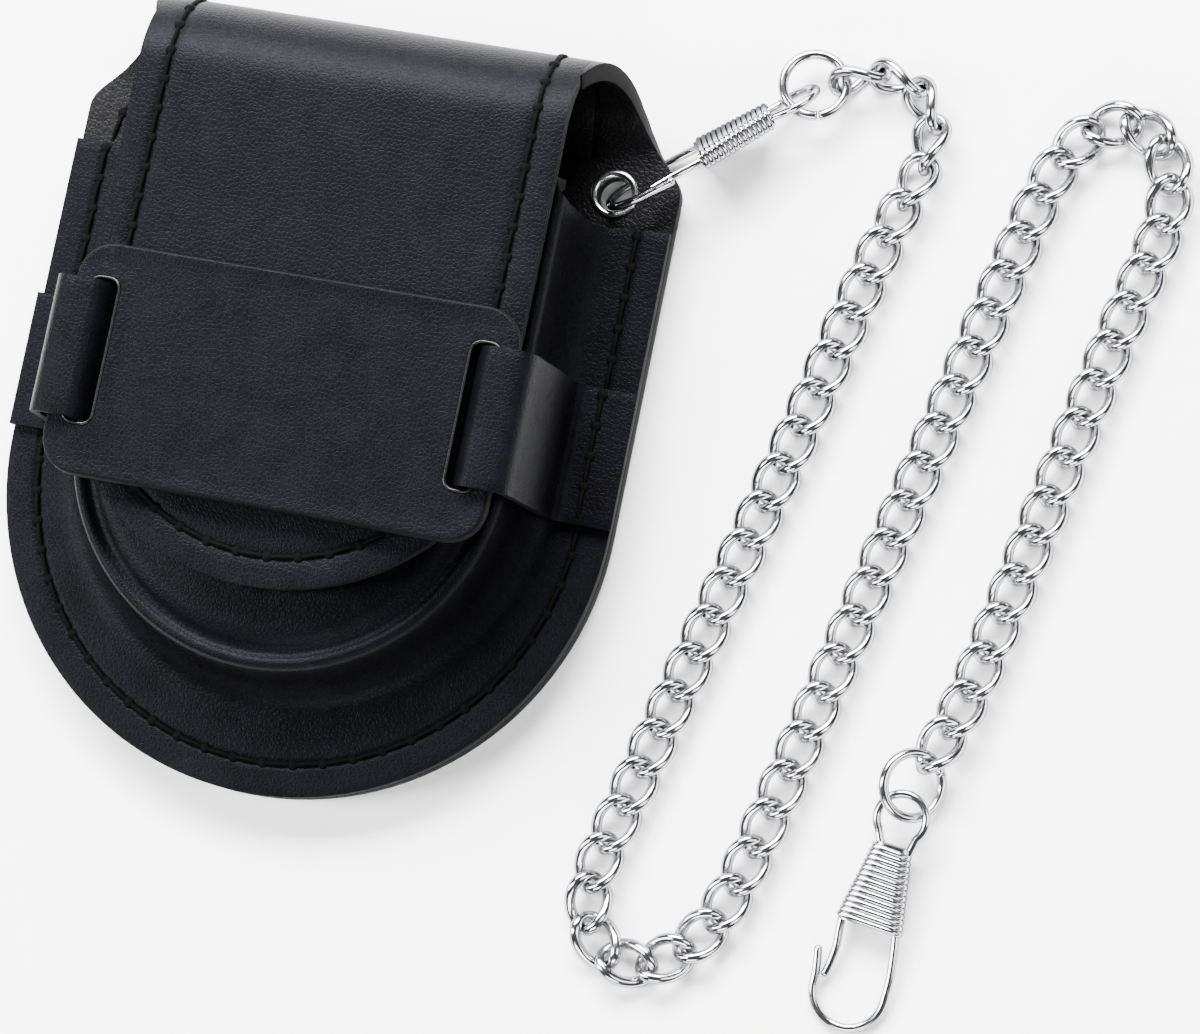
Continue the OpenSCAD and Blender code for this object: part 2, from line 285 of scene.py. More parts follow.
def smoothRun(points, steps):
    # passes a smooth curve through a few points
    run = []
    last = len(points) - 1
    pts = [Vector(p) for p in points]
    for i in range(last):
        a, b, c, d = pts[max(i - 1, 0)], pts[i], pts[i + 1], pts[min(i + 2, last)]
        for k in range(steps):
            t = k / steps
            run.append(0.5 * (2 * b + (c - a) * t + (2 * a - 5 * b + 4 * c - d) * t * t
                              + (3 * b - a - 3 * c + d) * t ** 3))
    run.append(pts[-1])
    return run


# Materials

leatherLook = {
    "body": "#030304", "bodyWorn": "#060609", "rough": 0.42, "roughVary": 0.1, "gloss": 0.042,
    "tint": "#e3e5f3", "grainSize": 0.5, "poreSize": 0.24, "creaseSize": 2.4, "grainDepth": 0.033,
}
liningLook = {
    "body": "#040405", "bodyWorn": "#09090a", "rough": 0.46, "roughVary": 0.12, "gloss": 0.07,
    "tint": "#f0f0f4", "grainSize": 0.55, "poreSize": 0.3, "creaseSize": 2.0, "grainDepth": 0.06,
}


def startMaterial(name):
    # a new material with its shader and the piece's own coordinates
    material = bpy.data.materials.new(name)
    material.use_nodes = True
    tree = material.node_tree
    place = addNode(tree, "ShaderNodeTexCoord").outputs["Object"]
    return material, tree, tree.nodes["Principled BSDF"], place


def leatherMaterial(name, look):
    material, tree, shader, place = startMaterial(name)
    warp = addNode(tree, "ShaderNodeTexNoise", {}, {
        "Vector": place, "Scale": 1 / (look["creaseSize"] * mm), "Detail": 3.0, "Roughness": 0.55})
    bent = addNode(tree, "ShaderNodeVectorMath", {"operation": "MULTIPLY_ADD"}, {
        0: warp.outputs["Color"], 1: (0.0005, 0.0005, 0.0005), 2: place})
    grain = addNode(tree, "ShaderNodeTexVoronoi", {"feature": "DISTANCE_TO_EDGE"}, {
        "Vector": bent.outputs["Vector"], "Scale": 1 / (look["grainSize"] * mm)})
    valleys = addNode(tree, "ShaderNodeMapRange", {"interpolation_type": "SMOOTHSTEP"}, {
        "Value": grain.outputs["Distance"], "From Min": 0.0, "From Max": 0.22})
    pores = addNode(tree, "ShaderNodeTexNoise", {}, {
        "Vector": place, "Scale": 1 / (look["poreSize"] * mm), "Detail": 4.0, "Roughness": 0.6})
    creases = addNode(tree, "ShaderNodeTexNoise", {}, {
        "Vector": bent.outputs["Vector"], "Scale": 0.6 / (look["creaseSize"] * mm), "Detail": 5.0,
        "Roughness": 0.6})
    depth = addNode(tree, "ShaderNodeMath", {"operation": "MULTIPLY_ADD"}, {
        0: pores.outputs["Fac"], 1: 0.55, 2: valleys.outputs["Result"]})
    height = addNode(tree, "ShaderNodeMath", {"operation": "MULTIPLY_ADD"}, {
        0: creases.outputs["Fac"], 1: 1.1, 2: depth.outputs["Value"]})
    bump = addNode(tree, "ShaderNodeBump", {}, {
        "Strength": 0.55, "Distance": look["grainDepth"] * mm, "Height": height.outputs["Value"]})
    tone = addNode(tree, "ShaderNodeMapRange", {}, {
        "Value": creases.outputs["Fac"], "From Min": 0.35, "From Max": 0.7})
    colour = addNode(tree, "ShaderNodeMix", {"data_type": "RGBA"}, {
        "Factor": tone.outputs["Result"], 6: linear(look["body"]), 7: linear(look["bodyWorn"])})
    gloss = addNode(tree, "ShaderNodeMapRange", {}, {
        "Value": pores.outputs["Fac"], "From Min": 0.3, "From Max": 0.7,
        "To Min": look["rough"] - look["roughVary"] / 2, "To Max": look["rough"] + look["roughVary"] / 2})
    tree.links.new(colour.outputs[2], shader.inputs["Base Color"])
    tree.links.new(gloss.outputs["Result"], shader.inputs["Roughness"])
    tree.links.new(bump.outputs["Normal"], shader.inputs["Normal"])
    shader.inputs["Specular IOR Level"].default_value = look["gloss"]
    shader.inputs["Specular Tint"].default_value = linear(look["tint"])
    return material


# finished full-grain calf leather: near black, fine closed grain under a soft satin polish
calfLeather = leatherMaterial("blackCalfLeather", leatherLook)
# unpolished pebble-embossed leather: deeper, rounder grain and less shine
pebbledLeather = leatherMaterial("blackPebbledLeather", liningLook)


def edgeMaterial(name, rough, gloss):
    # cut edges painted and burnished: slightly greyer than the face, smooth, with a faint fibre grain
    material, tree, shader, place = startMaterial(name)
    fibres = addNode(tree, "ShaderNodeTexNoise", {}, {
        "Vector": place, "Scale": 1 / (0.5 * mm), "Detail": 5.0, "Roughness": 0.65})
    tone = addNode(tree, "ShaderNodeMix", {"data_type": "RGBA"}, {
        "Factor": fibres.outputs["Fac"], 6: linear("#050506"), 7: linear("#0b0b0d")})
    bump = addNode(tree, "ShaderNodeBump", {}, {
        "Strength": 0.4, "Distance": 0.06 * mm, "Height": fibres.outputs["Fac"]})
    tree.links.new(tone.outputs[2], shader.inputs["Base Color"])
    tree.links.new(bump.outputs["Normal"], shader.inputs["Normal"])
    shader.inputs["Roughness"].default_value = rough
    shader.inputs["Specular IOR Level"].default_value = gloss
    return material


def threadMaterial():
    # waxed polyester thread: matt black, its twist too fine to show, so drawn as a fine unevenness
    material, tree, shader, place = startMaterial("waxedBlackThread")
    strands = addNode(tree, "ShaderNodeTexNoise", {}, {
        "Vector": place, "Scale": 1 / (0.25 * mm), "Detail": 3.0})
    tone = addNode(tree, "ShaderNodeMix", {"data_type": "RGBA"}, {
        "Factor": strands.outputs["Fac"], 6: linear("#020202"), 7: linear("#050506")})
    bump = addNode(tree, "ShaderNodeBump", {}, {
        "Strength": 0.6, "Distance": 0.08 * mm, "Height": strands.outputs["Fac"]})
    tree.links.new(tone.outputs[2], shader.inputs["Base Color"])
    tree.links.new(bump.outputs["Normal"], shader.inputs["Normal"])
    shader.inputs["Roughness"].default_value = 0.8
    shader.inputs["Specular IOR Level"].default_value = 0.03
    return material


def nickelMaterial(name, tone, dullTone, rough):
    # bright nickel plate on steel wire: white metal with small handling marks and slight stains
    material, tree, shader, place = startMaterial(name)
    marks = addNode(tree, "ShaderNodeTexNoise", {}, {
        "Vector": place, "Scale": 1 / (0.8 * mm), "Detail": 6.0, "Roughness": 0.7})
    stain = addNode(tree, "ShaderNodeTexNoise", {}, {
        "Vector": place, "Scale": 1 / (5 * mm), "Detail": 2.0})
    gloss = addNode(tree, "ShaderNodeMapRange", {}, {
        "Value": marks.outputs["Fac"], "From Min": 0.35, "From Max": 0.75,
        "To Min": rough, "To Max": rough + 0.12})
    colour = addNode(tree, "ShaderNodeMix", {"data_type": "RGBA"}, {
        "Factor": stain.outputs["Fac"], 6: linear(tone), 7: linear(dullTone)})
    bump = addNode(tree, "ShaderNodeBump", {}, {
        "Strength": 0.12, "Distance": 0.02 * mm, "Height": marks.outputs["Fac"]})
    tree.links.new(colour.outputs[2], shader.inputs["Base Color"])
    tree.links.new(gloss.outputs["Result"], shader.inputs["Roughness"])
    tree.links.new(bump.outputs["Normal"], shader.inputs["Normal"])
    shader.inputs["Metallic"].default_value = 1.0
    shader.inputs["Specular Tint"].default_value = linear("#4c4c50")
    return material


edgePaint = edgeMaterial("burnishedEdgePaint", 0.6, 0.03)
rimPaint = edgeMaterial("polishedSlotRim", 0.3, 0.2)
waxedThread = threadMaterial()
nickelPlate = nickelMaterial("brightNickelPlate", "#bcbcbe", "#a0a0a3", 0.12)
eyeletNickel = nickelMaterial("eyeletNickelPlate", "#d4d4d3", "#bdbdbd", 0.14)
print("materials made")


# Sizes shared by the pouch's pieces, in millimetres, read from the frame

def boxOf(node):
    low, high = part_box(node)
    return [c / mm for c in low], [c / mm for c in high]


panelLow, panelHigh = boxOf("back_panel")
pocketHigh = boxOf("front_pocket")[1]
flapLow, flapHigh = boxOf("flap_outer")
strapLow, strapHigh = boxOf("band_strap")
plateLow, plateHigh = boxOf("band_plate")
loopLow, loopHigh = boxOf("belt_loop")
eyeletLow, eyeletHigh = boxOf("eyelet_front")
washerLow, washerHigh = boxOf("eyelet_back")

panelRadius = panelHigh[0]
eyeletCentre = ((eyeletLow[0] + eyeletHigh[0]) / 2, (eyeletLow[1] + eyeletHigh[1]) / 2)
flapHalf = flapHigh[0]
flapTop = flapHigh[2]
archRadius = (flapTop - flapLow[2]) / 2
archY = flapHigh[1] - archRadius
archZ = flapLow[2] + archRadius
flangeZ = panelHigh[2]

pocketSize = {
    "leather": 1.6, "flangeTop": 34.5, "wallTop": 37.0, "notch": 4.3, "edge": 0.35,
    "arcSteps": 72, "sideSteps": 26, "domeY": 2.8, "sag": 1.1,
}
stitchSize = {
    "inset": 3.6, "flapInset": 3.4, "pitch": 3.4, "length": 3.2, "thread": 0.5,
    "overlap": 1.08, "groove": 0.75, "depth": 0.2, "lift": 0.55,
}


# Back panel: two shoulders, a round end, and the hole for the eyelet

backPanelSize = {"shoulder": 3.5, "shoulderY": 38.5, "rootY": 64.0, "edge": 0.45, "hole": 2.25, "gap": 1.2}


def earEdge(size):
    # the shoulder's outline, measured along the leather as it turns up into the arch
    side = panelRadius - size["shoulder"]
    points = arc((side, size["shoulderY"]), size["shoulder"], 0, 42, 6)
    return points + [(33.0, 42.1), (31.6, 44.0), (30.2, 46.4), (29.1, 49.0), (28.2, 51.8), (27.2, 55.0),
                     (26.2, 58.6), (25.2, 62.2), (flapHalf + 0.15, size["rootY"])]


def panelOutline(size):
    right = earEdge(size)
    left = [(-x, y) for x, y in right[::-1]]
    edge = flapHalf + 0.02
    root = [(edge, size["rootY"]), (edge, archY), (-edge, archY), (-edge, size["rootY"])]
    return arc((0, 0), panelRadius, 180, 360, 60) + right + root + left


def onPanel(x, s):
    # the panel's inner face: flat, then curved up beside the flap's arch
    if s <= archY:
        return (x, s, panelHigh[2])
    radius = archRadius - (panelHigh[2] - panelLow[2])
    turned = (s - archY) / archRadius
    return (x, archY + radius * math.sin(turned), archZ - radius * math.cos(turned))


def makeBackPanel(size):
    hole = arc(eyeletCentre, size["hole"], 0, 330, 11)
    spots, faces = cutSheet(panelOutline(size), [hole], size["gap"])
    points = [Vector(onPanel(x, s)) * mm for x, s in spots]
    panel = meshObject("backPanelLeather", points, faces)
    weld(panel)
    flat = sum(f.normal.z * f.area for f in panel.data.polygons if f.center.y < archY * mm)
    if flat < 0:
        panel.data.flip_normals()
    thicken(panel, (panelHigh[2] - panelLow[2]) * mm, size["edge"] * mm)
    finishPiece(panel, "pouch", [pebbledLeather, edgePaint], ["back_panel"])


makeBackPanel(backPanelSize)


# Belt loop: a flat strap on the back with eased corners

beltLoopSize = {"corner": 3.0, "edge": 0.3, "gap": 2.0}


def roundedOblong(low, high, corner, steps=6):
    points = arc((high[0] - corner, low[1] + corner), corner, 270, 360, steps)
    points += arc((high[0] - corner, high[1] - corner), corner, 0, 90, steps)
    points += arc((low[0] + corner, high[1] - corner), corner, 90, 180, steps)
    points += arc((low[0] + corner, low[1] + corner), corner, 180, 270, steps)
    return points


def makeBeltLoop(size):
    spots, faces = cutSheet(roundedOblong(loopLow, loopHigh, size["corner"]), [], size["gap"])
    points = [(x * mm, y * mm, loopHigh[2] * mm) for x, y in spots]
    loop = meshObject("beltLoopLeather", points, faces)
    weld(loop, faceUp=True)
    thicken(loop, (loopHigh[2] - loopLow[2]) * mm, size["edge"] * mm)
    finishPiece(loop, "pouch", [calfLeather, edgePaint], ["belt_loop"])


makeBeltLoop(beltLoopSize)


# Front pocket: one skin moulded over a watch, with a sewn flange, a bead and a low dome

def pocketProfile():
    # distance from the middle line and height above the flange's face
    rise = pocketHigh[2] - flangeZ - pocketSize["leather"]
    row = panelRadius - stitchSize["inset"]
    deep = stitchSize["depth"]
    dome = [(0, 0), (6, 0), (12, 0.02), (16, 0.12), (18.5, 0.4), (20.2, 0.95), (21.4, 1.75), (22.1, 2.55)]
    bead = [(22.6, 3.0), (23.0, 3.05), (23.4, 2.75), (23.9, 2.5), (24.4, 2.65), (24.75, 3.2), (24.85, 3.9),
            (24.9, 5.0)]
    wall = [(25.0, 6.4), (25.3, 4.4), (25.8, 2.7), (26.6, 1.35), (27.6, 0.5), (28.6, 0.1), (29.4, 0.0)]
    sewn = [(row - 0.9, 0.0), (row - 0.55, -0.1 * deep), (row - 0.28, -0.75 * deep), (row, -deep),
            (row + 0.28, -0.75 * deep), (row + 0.55, -0.1 * deep), (row + 0.9, 0.0)]
    shape = [(r, rise - drop) for r, drop in dome + bead] + wall + sewn + [(34, 0.0), (panelRadius, -0.02)]
    return [(r, flangeZ + pocketSize["leather"] + z) for r, z in shape]


def pocketEnd(x):
    # how far up the skin reaches: less on the flange, and cut back round the eyelet
    reach = pocketSize["wallTop"] if abs(x) < 25.8 else pocketSize["flangeTop"]
    if 25.8 <= abs(x) < 27.4:
        blend = (abs(x) - 25.8) / 1.6
        reach = pocketSize["wallTop"] + (pocketSize["flangeTop"] - pocketSize["wallTop"]) * blend
    away = abs(x - eyeletCentre[0])
    if away < pocketSize["notch"]:
        reach = min(reach, eyeletCentre[1] - math.sqrt(pocketSize["notch"] ** 2 - away ** 2))
    return reach


def makePocket(size):
    profile = pocketProfile()
    fine = []
    for (r1, z1), (r2, z2) in zip(profile, profile[1:]):
        count = max(1, round((r2 - r1) / 0.8))
        fine += [(r1 + (r2 - r1) * i / count, z1 + (z2 - z1) * i / count) for i in range(count)]
    fine.append(profile[-1])

    def lift(r):
        # the dome sits a little higher than the flange's own centre
        return size["domeY"] * min(1.0, max(0.0, (30.4 - r) / 1.8))

    def sag(x, y):
        # the skin drops away beneath the flap's round end
        r = math.hypot(x, y - size["domeY"])
        part = min(1.0, max(0.0, (size["domeY"] - y) / 9))
        part *= min(1.0, max(0.0, (r - 10) / 6)) * min(1.0, max(0.0, (22.8 - r) / 4))
        return size["sag"] * part * part * (3 - 2 * part)

    stations = []
    for side in (1, -1):
        run = []
        for i in range(size["sideSteps"], 0, -1):
            part = i / size["sideSteps"]
            run.append([(side * r, lift(r) + part * (pocketEnd(side * r) - lift(r)), z) for r, z in fine])
        stations.append(run)
    turn = []
    for i in range(size["arcSteps"] + 1):
        a = math.pi * i / size["arcSteps"]
        turn.append([(r * math.cos(a), lift(r) - r * math.sin(a), z) for r, z in fine])
    rows = stations[0] + turn + stations[1][::-1]
    points = []
    for x, y, z in [spot for row in rows for spot in row]:
        points.append((x * mm, y * mm, (z + swell((x, y, 3), 9, 0.12) - sag(x, y)) * mm))
    pocket = meshObject("frontPocketLeather", points, netFaces(len(rows), len(fine)))
    weld(pocket, faceUp=True)
    thicken(pocket, size["leather"] * mm, size["edge"] * mm)
    finishPiece(pocket, "pouch", [calfLeather, edgePaint], ["front_pocket"])


makePocket(pocketSize)
print("pocket and back made")


# Flap: a wide strip with a round tail, carried over the arch; its lining is a second strip inside

flapSize = {"tailRadius": 27.0, "tailY": 13.5, "leather": 1.5, "edge": 0.4, "gap": 1.1}
liningSize = {"inset": 0.5, "leather": 0.8, "edge": 0.2, "gap": 1.5}


def overArch(x, s, depth):
    # s runs up the front from y = 0, over the arch and down its back; depth is below the outer face
    radius = archRadius - depth
    if s <= archY:
        return (x, s, flapTop - depth)
    turned = (s - archY) / archRadius
    if turned <= math.pi:
        return (x, archY + radius * math.sin(turned), archZ + radius * math.cos(turned))
    return (x, archY - (s - archY - math.pi * archRadius), archZ - radius)


def flapOutline(size, inset):
    half = flapHalf - inset
    radius = size["tailRadius"] - inset
    lean = math.degrees(math.asin(half / radius))
    points = arc((0, size["tailY"]), radius, 270 - lean, 270 + lean, 30)
    end = archY + math.pi * archRadius
    return points + [(half, end), (-half, end)]


def flapStitchRows():
    # two sides and the round tail, measured along the leather
    half = flapHalf - stitchSize["flapInset"]
    radius = flapSize["tailRadius"] - stitchSize["flapInset"]
    lean = math.degrees(math.asin(half / radius))
    tail = arc((0, flapSize["tailY"]), radius, 270 - lean, 270 + lean, 60)
    end = archY + math.pi * archRadius * 0.98
    sides = []
    for edge in (tail[0], tail[-1]):
        sides.append([(edge[0], edge[1] + (end - edge[1]) * i / 60) for i in range(61)])
    return sides + [tail]


def flapBow(x, s):
    return swell((x, s, 9), 14, 0.16) * min(1.0, max(0.0, (archY - s) / 6))


def makeFlap(name, size, inset, depth, materials, node):
    rows = flapStitchRows() if depth == 0 else []
    spots, faces = cutSheet(flapOutline(flapSize, inset), [], size["gap"], rows)
    points = []
    for x, s in spots:
        sunk = groove((x, s), rows, stitchSize["groove"], stitchSize["depth"])
        px, py, pz = overArch(x, s, depth + sunk)
        points.append((px * mm, py * mm, (pz + flapBow(x, s)) * mm))
    flap = meshObject(name, points, faces)
    weld(flap)
    front = [p for p in flap.data.polygons if p.center.y < archY * mm * 0.8]
    if sum(p.normal.z for p in front) < 0:
        flap.data.flip_normals()
    thicken(flap, size["leather"] * mm, size["edge"] * mm)
    finishPiece(flap, "pouch", materials, [node])


makeFlap("flapLeather", flapSize, 0.0, 0.0, [calfLeather, edgePaint], "flap_outer")
makeFlap("flapLiningLeather", liningSize, liningSize["inset"], flapSize["leather"],
         [pebbledLeather, edgePaint], "flap_lining")
print("flap made")


# Band: a strap sewn to both sides of the flange, passing through the slots of a plain plate

strapSize = {"leather": 1.1, "edge": 0.3, "across": 13}
plateSize = {
    "corner": 4.0, "slotX": 21.7, "slotWidth": 3.4, "slotExtra": 1.0, "slotCorner": 1.2, "bead": 0.2,
    "beadSunk": 0.06, "beadStep": 0.6, "edge": 0.3, "gap": 1.1, "rim": 0.16, "rimWidth": 1.1,
    "thinner": 0.2,
}
strapMiddle = (strapLow[1] + strapHigh[1]) / 2
strapHalf = (strapHigh[1] - strapLow[1]) / 2


def strapPath():
    # the middle of the strap's thickness, from its right-hand end to the middle of the pouch
    t = strapSize["leather"] / 2
    lowZ = strapLow[2] + t
    highZ = strapHigh[2] - t + 0.1
    under = flapTop + 0.05 + t
    foot = [(strapHigh[0], lowZ), (32.5, lowZ), (29.8, lowZ + 0.05), (28.6, lowZ + 0.9), (28.0, lowZ + 2.6)]
    rise = [(27.6, (lowZ + highZ) / 2), (27.1, highZ - 4.5), (26.8, highZ - 1.6), (26.3, highZ - 0.4)]
    dive = [(25.4, highZ), (23.1, highZ), (22.4, highZ - 0.15), (21.8, highZ - 0.9), (21.25, highZ - 2.1)]
    flat = [(20.5, under + 0.05), (18.9, under), (12, under), (6, under), (0, under)]
    return foot + rise + dive + flat


def makeStrap(size):
    half = smoothRun([(x, 0, z) for x, z in strapPath()], 4)
    run = half[:-1] + [Vector((-p.x, 0, p.z)) for p in half[::-1]]
    points = []
    across = size["across"]
    for p in run:
        for k in range(across):
            y = strapMiddle - strapHalf + 2 * strapHalf * k / (across - 1)
            lift = swell((p.x, y, p.z), 6, 0.05)
            points.append((p.x * mm, y * mm, (p.z + lift) * mm))
    strap = meshObject("bandStrapLeather", points, netFaces(len(run), across))
    weld(strap, faceUp=True)
    thicken(strap, size["leather"] * mm, size["edge"] * mm)
    strap.modifiers["leather thickness"].offset = 0
    finishPiece(strap, "pouch", [calfLeather, edgePaint], ["band_strap"])


def makePlate(size):
    holes = []
    wide = size["slotWidth"] / 2
    tall = strapHalf + size["slotExtra"] / 2
    for side in (-1, 1):
        middle = side * size["slotX"]
        holes.append(roundedOblong((middle - wide, strapMiddle - tall), (middle + wide, strapMiddle + tall),
                                   size["slotCorner"], 5))
    edge = roundedOblong(plateLow, plateHigh, size["corner"])
    spots, faces = cutSheet(edge, holes, size["gap"])
    points = []
    for x, y in spots:
        bow = swell((x, y, 5), 16, 0.1)
        near = min(min(nearest((x, y), hole) for hole in holes), nearest((x, y), edge))
        rim = max(0.0, 1 - near / size["rimWidth"])
        points.append((x * mm, y * mm, (plateHigh[2] - size["rim"] * (1 - rim) + bow * 0.5) * mm))
    plate = meshObject("bandPlateLeather", points, faces)
    weld(plate, faceUp=True)
    thicken(plate, (plateHigh[2] - plateLow[2] - size["thinner"]) * mm, size["edge"] * mm)
    for side, hole in zip(("Left", "Right"), holes):
        beadZ = plateHigh[2] - size["beadSunk"]
        run = [Vector((x, y, beadZ)) * mm for x, y in spaced(hole, size["beadStep"])]
        bead = tube("slotRim" + side, run, size["bead"] * mm, 8, Vector((0, 0, 1)), closed=True)
        finishPiece(bead, "band_plate", [rimPaint], ["band_plate"])
    finishPiece(plate, "band_plate", [calfLeather, edgePaint], ["band_plate"])


makeStrap(strapSize)
makePlate(plateSize)
print("band made")


# Geometry node groups for what repeats: links, stitches and wound wire

def newTree(name, inputs):
    tree = bpy.data.node_groups.new(name, "GeometryNodeTree")
    tree.interface.new_socket("Geometry", in_out="INPUT", socket_type="NodeSocketGeometry")
    for label, kind, value in inputs:
        socket = tree.interface.new_socket(label, in_out="INPUT", socket_type=kind)
        if value is not None:
            socket.default_value = value
    tree.interface.new_socket("Geometry", in_out="OUTPUT", socket_type="NodeSocketGeometry")
    start = tree.nodes.new("NodeGroupInput")
    end = tree.nodes.new("NodeGroupOutput")
    return tree, start, end


def closeTree(tree, geometry, start, end):
    # places copies on the points, makes them real and gives them the finish
    points = addNode(tree, "GeometryNodeMeshToPoints", {}, {"Mesh": start.outputs["Geometry"]})
    turn = addNode(tree, "GeometryNodeInputNamedAttribute", {"data_type": "FLOAT_VECTOR"}, {"Name": "turn"})
    rotation = addNode(tree, "FunctionNodeEulerToRotation", {}, {"Euler": turn.outputs["Attribute"]})
    copies = addNode(tree, "GeometryNodeInstanceOnPoints", {}, {
        "Points": points.outputs["Points"], "Instance": geometry, "Rotation": rotation.outputs["Rotation"]})
    real = addNode(tree, "GeometryNodeRealizeInstances", {}, {"Geometry": copies.outputs["Instances"]})
    smooth = addNode(tree, "GeometryNodeSetShadeSmooth", {}, {"Geometry": real.outputs["Geometry"]})
    finish = addNode(tree, "GeometryNodeSetMaterial", {}, {
        "Geometry": smooth.outputs["Geometry"], "Material": start.outputs["Finish"]})
    tree.links.new(finish.outputs["Geometry"], end.inputs["Geometry"])


def linkTree():
    # one curb link: a flattened oval of wire, twisted from end to end, on each point
    tree, start, end = newTree("curbLinks", [
        ("Half length", "NodeSocketFloat", 0.003), ("Half width", "NodeSocketFloat", 0.002),
        ("Wire", "NodeSocketFloat", 0.0011), ("Twist", "NodeSocketFloat", 1.57),
        ("Roundness", "NodeSocketFloat", 0.9), ("Finish", "NodeSocketMaterial", None)])
    ring = addNode(tree, "GeometryNodeCurvePrimitiveCircle", {}, {"Resolution": 40, "Radius": 1.0})
    here = addNode(tree, "GeometryNodeInputPosition")
    split = addNode(tree, "ShaderNodeSeparateXYZ", {}, {0: here.outputs["Position"]})
    sides = []
    for axis, reach in (("X", "Half length"), ("Y", "Half width")):
        size = addNode(tree, "ShaderNodeMath", {"operation": "ABSOLUTE"}, {0: split.outputs[axis]})
        eased = addNode(tree, "ShaderNodeMath", {"operation": "POWER"}, {
            0: size.outputs[0], 1: start.outputs["Roundness"]})
        sign = addNode(tree, "ShaderNodeMath", {"operation": "SIGN"}, {0: split.outputs[axis]})
        signed = addNode(tree, "ShaderNodeMath", {"operation": "MULTIPLY"}, {
            0: eased.outputs[0], 1: sign.outputs[0]})
        sides.append(addNode(tree, "ShaderNodeMath", {"operation": "MULTIPLY"}, {
            0: signed.outputs[0], 1: start.outputs[reach]}))
    part = addNode(tree, "ShaderNodeMath", {"operation": "DIVIDE"}, {
        0: sides[0].outputs[0], 1: start.outputs["Half length"]})
    half = addNode(tree, "ShaderNodeMath", {"operation": "MULTIPLY"}, {0: start.outputs["Twist"], 1: 0.5})
    angle = addNode(tree, "ShaderNodeMath", {"operation": "MULTIPLY"}, {
        0: part.outputs[0], 1: half.outputs[0]})
    twisted = []
    for operation in ("COSINE", "SINE"):
        share = addNode(tree, "ShaderNodeMath", {"operation": operation}, {0: angle.outputs[0]})
        twisted.append(addNode(tree, "ShaderNodeMath", {"operation": "MULTIPLY"}, {
            0: sides[1].outputs[0], 1: share.outputs[0]}))
    spot = addNode(tree, "ShaderNodeCombineXYZ", {}, {
        0: sides[0].outputs[0], 1: twisted[0].outputs[0], 2: twisted[1].outputs[0]})
    shaped = addNode(tree, "GeometryNodeSetPosition", {}, {
        "Geometry": ring.outputs["Curve"], "Position": spot.outputs[0]})
    thin = addNode(tree, "ShaderNodeMath", {"operation": "MULTIPLY"}, {0: start.outputs["Wire"], 1: 0.5})
    section = addNode(tree, "GeometryNodeCurvePrimitiveCircle", {}, {
        "Resolution": 14, "Radius": thin.outputs[0]})
    wire = addNode(tree, "GeometryNodeCurveToMesh", {}, {
        "Curve": shaped.outputs["Geometry"], "Profile Curve": section.outputs["Curve"]})
    closeTree(tree, wire.outputs["Mesh"], start, end)
    return tree


def stitchTree():
    # one stitch: an arched length of thread that dips into a needle hole at each end, with a knot
    tree, start, end = newTree("saddleStitches", [
        ("Length", "NodeSocketFloat", 0.003), ("Thread", "NodeSocketFloat", 0.0006),
        ("Lift", "NodeSocketFloat", 0.0004), ("Finish", "NodeSocketMaterial", None)])
    half = addNode(tree, "ShaderNodeMath", {"operation": "MULTIPLY"}, {0: start.outputs["Length"], 1: 0.5})
    back = addNode(tree, "ShaderNodeMath", {"operation": "MULTIPLY"}, {0: half.outputs[0], 1: -1.0})
    dip = addNode(tree, "ShaderNodeMath", {"operation": "MULTIPLY"}, {0: start.outputs["Thread"], 1: -0.3})
    first = addNode(tree, "ShaderNodeCombineXYZ", {}, {0: back.outputs[0], 2: dip.outputs[0]})
    middle = addNode(tree, "ShaderNodeCombineXYZ", {}, {2: start.outputs["Lift"]})
    last = addNode(tree, "ShaderNodeCombineXYZ", {}, {0: half.outputs[0], 2: dip.outputs[0]})
    run = addNode(tree, "GeometryNodeCurveQuadraticBezier", {}, {
        "Resolution": 6, "Start": first.outputs[0], "Middle": middle.outputs[0], "End": last.outputs[0]})
    radius = addNode(tree, "ShaderNodeMath", {"operation": "MULTIPLY"}, {
        0: start.outputs["Thread"], 1: 0.5})
    section = addNode(tree, "GeometryNodeCurvePrimitiveCircle", {}, {
        "Resolution": 8, "Radius": radius.outputs[0]})
    thread = addNode(tree, "GeometryNodeCurveToMesh", {}, {
        "Curve": run.outputs["Curve"], "Profile Curve": section.outputs["Curve"], "Fill Caps": True})
    knotRadius = addNode(tree, "ShaderNodeMath", {"operation": "MULTIPLY"}, {
        0: start.outputs["Thread"], 1: 1.35})
    knot = addNode(tree, "GeometryNodeMeshIcoSphere", {}, {
        "Radius": knotRadius.outputs[0], "Subdivisions": 2})
    moved = addNode(tree, "GeometryNodeTransform", {}, {
        "Geometry": knot.outputs["Mesh"], "Translation": last.outputs[0], "Scale": (1.0, 1.0, 0.72)})
    both = addNode(tree, "GeometryNodeJoinGeometry")
    tree.links.new(thread.outputs["Mesh"], both.inputs[0])
    tree.links.new(moved.outputs["Geometry"], both.inputs[0])
    closeTree(tree, both.outputs["Geometry"], start, end)
    return tree


